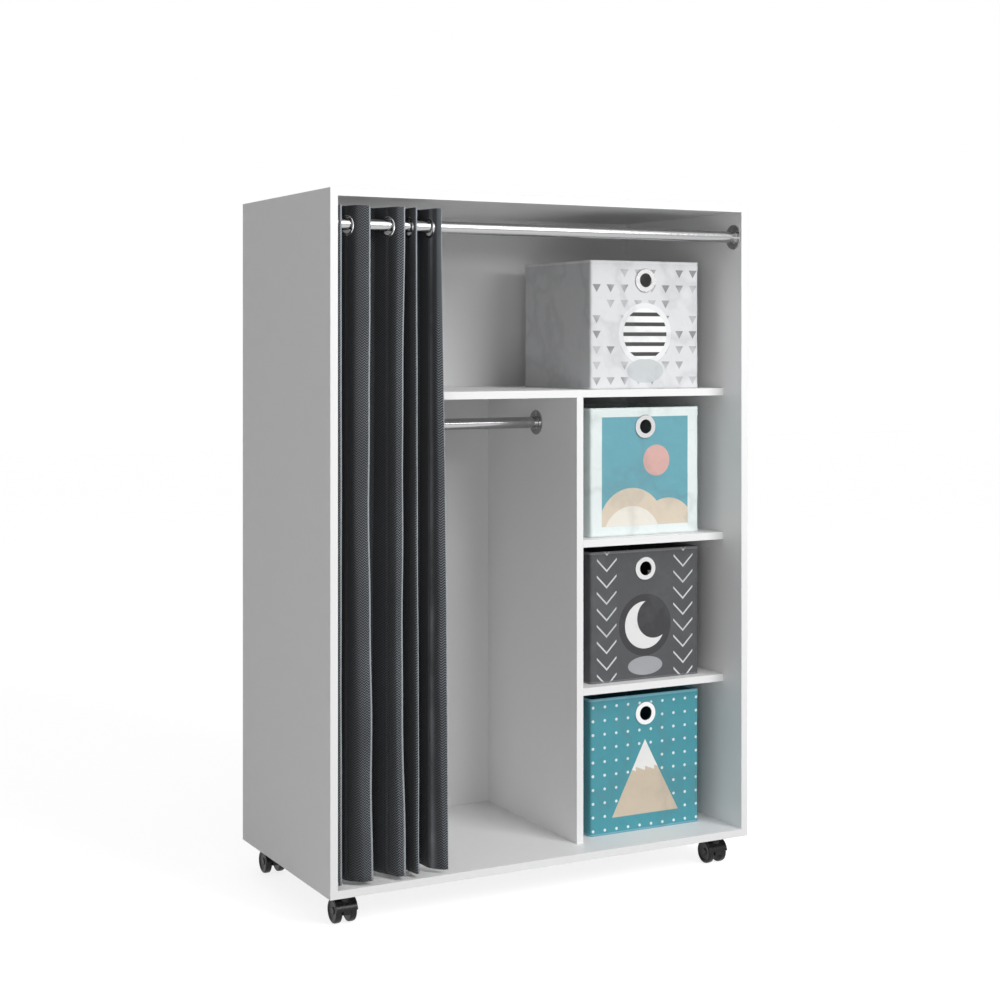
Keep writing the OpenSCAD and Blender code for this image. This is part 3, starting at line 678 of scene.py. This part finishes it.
def make_box(number, material):
    """Fabric box: walls that pull in slightly, a hem at the top and foot, and a floor."""
    low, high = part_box(f"box_{number}_shell")
    size = high - low
    middle = (low + high) / 2
    ring = rounded_ring(size.x - 2 * BOX_INSET, size.y - 2 * BOX_INSET, BOX_CORNER)
    inward = np.maximum(1 - abs(ring[:, 0]) / (size.x / 2), 1 - abs(ring[:, 1]) / (size.y / 2))
    sag = WALL_SAG * np.sin(np.clip(inward, 0, 1) * math.pi / 2)
    rise_x, rise_y = CREASE_RISE
    rows = []
    for h in np.linspace(0, 1, BOX_ROWS):
        across = np.sin(CREASE_X * ring[:, 0] + CREASE_SHIFT * number + rise_x * h)
        crease = CREASE * across * np.sin(CREASE_Y * ring[:, 1] + rise_y * h)
        hem = HEM_PROUD if h > HEM_FROM or h < FOOT_TO else 0.0
        scale = 1 + ((crease - sag) * math.sin(math.pi * h) + hem) / (size.x / 2)
        z = low.z + BOX_GAP + h * (size.z - 2 * BOX_GAP)
        rows.append([(middle.x + x * k, middle.y + y * k, z) for (x, y), k in zip(ring, scale)])
    walls = grid_mesh(f"box_{number}_fabric", rows, material, closed=True)
    eyelet = middle_of(f"box_{number}_eyelet")
    open_hole(walls, (eyelet.x, rows[EYELET_ROW][0][1], eyelet.z), BOX_HOLE_R, BOX_HOLE_REACH)
    thicken(walls, BOX_CLOTH, -1.0)
    half_x = size.x / 2 - BOX_FLOOR_INSET
    half_y = size.y / 2 - BOX_FLOOR_INSET
    shares = np.linspace(-1, 1, FLOOR_POINTS)
    floor = grid_mesh(f"box_{number}_floor", [
        [(middle.x + sx * half_x, middle.y + sy * half_y, low.z + BOX_FLOOR_Z) for sx in shares]
        for sy in shares
    ], material)
    thicken(floor, BOX_FLOOR_T)
    for made in (walls, floor):
        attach(made, f"box_{number}")
        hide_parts(f"box_{number}_shell")


def make_boxes():
    """Each box has the tone of its sides, the tone of its piping and its print."""
    looks = {
        1: (rgb(0.52, 0.525, 0.535), rgb(0.8, 0.81, 0.82), print_triangles),
        2: (rgb(0.6, 0.68, 0.67), rgb(0.78, 0.84, 0.83), print_hills),
        3: (rgb(0.05, 0.052, 0.057), rgb(0.2, 0.2, 0.21), print_chevrons),
        4: (rgb(0.04, 0.26, 0.31), rgb(0.25, 0.55, 0.68), print_dots)
    }
    for number, look in looks.items():
        make_box(number, box_material(number, *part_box(f"box_{number}_shell"), *look))


# The solids that show as they are
def dress(names, material):
    for name in names:
        data = NODES[name].data
        data.materials.clear()
        data.materials.append(material)


def soften(names, width):
    """Rounds the edges slightly."""
    for name in names:
        bevel = NODES[name].modifiers.new("edge", "BEVEL")
        bevel.width = width
        bevel.segments = 3
        bevel.limit_method = "ANGLE"
        bevel.harden_normals = True


def nodes_with(text):
    return [name for name in NODES if text in name]


def paint_cad():
    boards = ["left_side", "right_side", "top_panel", "bottom_panel", "long_shelf", "divider",
              "shelf_middle", "shelf_lower"]
    dress(boards, board_material("board", 0.84))
    soften(boards, BOARD_BEVEL)
    dress(["back_panel"], board_material("back_board", 0.74))
    rods = [name for name in NODES if name.startswith(("curtain_rod", "clothes_rail"))]
    dress(rods, metal_material("chrome", 0.42, 0.14))
    dress(nodes_with("eyelet"), metal_material("eyelet_metal", 0.72, 0.16))
    fittings = ["cam_locks", "cam_bolts", "shelf_pins", "flange_screws", "castor_plates",
                "castor_screws"]
    dress(fittings + nodes_with("_axle"), metal_material("steel", 0.55, 0.3))
    dress(["dowels"], wood_material("beech", rgb(0.45, 0.3, 0.17), rgb(0.66, 0.48, 0.3)))
    dress(nodes_with("_base"), board_material("card", 0.35))
    dress(nodes_with("_hood"), plastic_material("castor_black", 0.006, 0.24))
    dress(nodes_with("wheel"), plastic_material("wheel_black", 0.005, 0.3))


# Stage
def seen(tree):
    """1 for the rays that show a surface: camera, glossy and transmission."""
    path = tree.nodes.new("ShaderNodeLightPath")
    factor = path.outputs["Is Camera Ray"]
    for name in ("Is Glossy Ray", "Is Transmission Ray"):
        either = tree.nodes.new("ShaderNodeMath")
        either.operation = "MAXIMUM"
        tree.links.new(factor, either.inputs[0])
        tree.links.new(path.outputs[name], either.inputs[1])
        factor = either.outputs[0]
    return factor


def make_floor():
    """Pale floor that shows as white, apart from the object's shadow."""
    s = Shader("floor", (0.45, 0.45, 0.45), 0.9)
    s.put(s.bsdf.inputs["Emission Color"], rgb(1, 1, 1))
    s.put(s.bsdf.inputs["Emission Strength"], s.times(seen(s.tree), FLOOR_GLOW))
    bpy.ops.mesh.primitive_plane_add(size=FLOOR_SIZE, location=(0, 0, 0))
    floor = bpy.context.object
    floor.name = "floor"
    floor.data.materials.append(s.material)


def make_world():
    """Soft light all round that shows as plain white."""
    world = bpy.data.worlds.new("studio")
    bpy.context.scene.world = world
    world.use_nodes = True
    tree = world.node_tree
    soft = tree.nodes["Background"]
    white = tree.nodes.new("ShaderNodeBackground")
    for background, strength in ((soft, WORLD_STRENGTH), (white, 1.0)):
        background.inputs["Color"].default_value = rgb(1, 1, 1)
        background.inputs["Strength"].default_value = strength
    mix = tree.nodes.new("ShaderNodeMixShader")
    tree.links.new(seen(tree), mix.inputs[0])
    tree.links.new(soft.outputs[0], mix.inputs[1])
    tree.links.new(white.outputs[0], mix.inputs[2])
    tree.links.new(mix.outputs[0], tree.nodes["World Output"].inputs["Surface"])


def make_lights():
    for name, place, size, power in LAMPS:
        data = bpy.data.lights.new(name, "AREA")
        data.size = size
        data.energy = power
        lamp = bpy.data.objects.new(name, data)
        lamp.location = place
        lamp.rotation_euler = (LOOK_AT - lamp.location).to_track_quat("-Z", "Y").to_euler()
        bpy.context.scene.collection.objects.link(lamp)


def make_camera():
    data = bpy.data.cameras.new("camera")
    data.lens = CAMERA_LENS
    data.sensor_width = CAMERA_SENSOR
    data.shift_y = CAMERA_SHIFT_Y
    camera = bpy.data.objects.new("camera", data)
    camera.location = CAMERA_AT
    camera.rotation_euler = (math.radians(90), 0, math.radians(CAMERA_YAW))
    bpy.context.scene.collection.objects.link(camera)
    bpy.context.scene.camera = camera


bpy.context.scene.view_settings.view_transform = "Standard"
make_camera()
paint_cad()
make_boxes()
make_curtain(curtain_material())
make_floor()
make_world()
make_lights()
bpy.context.view_layer.update()
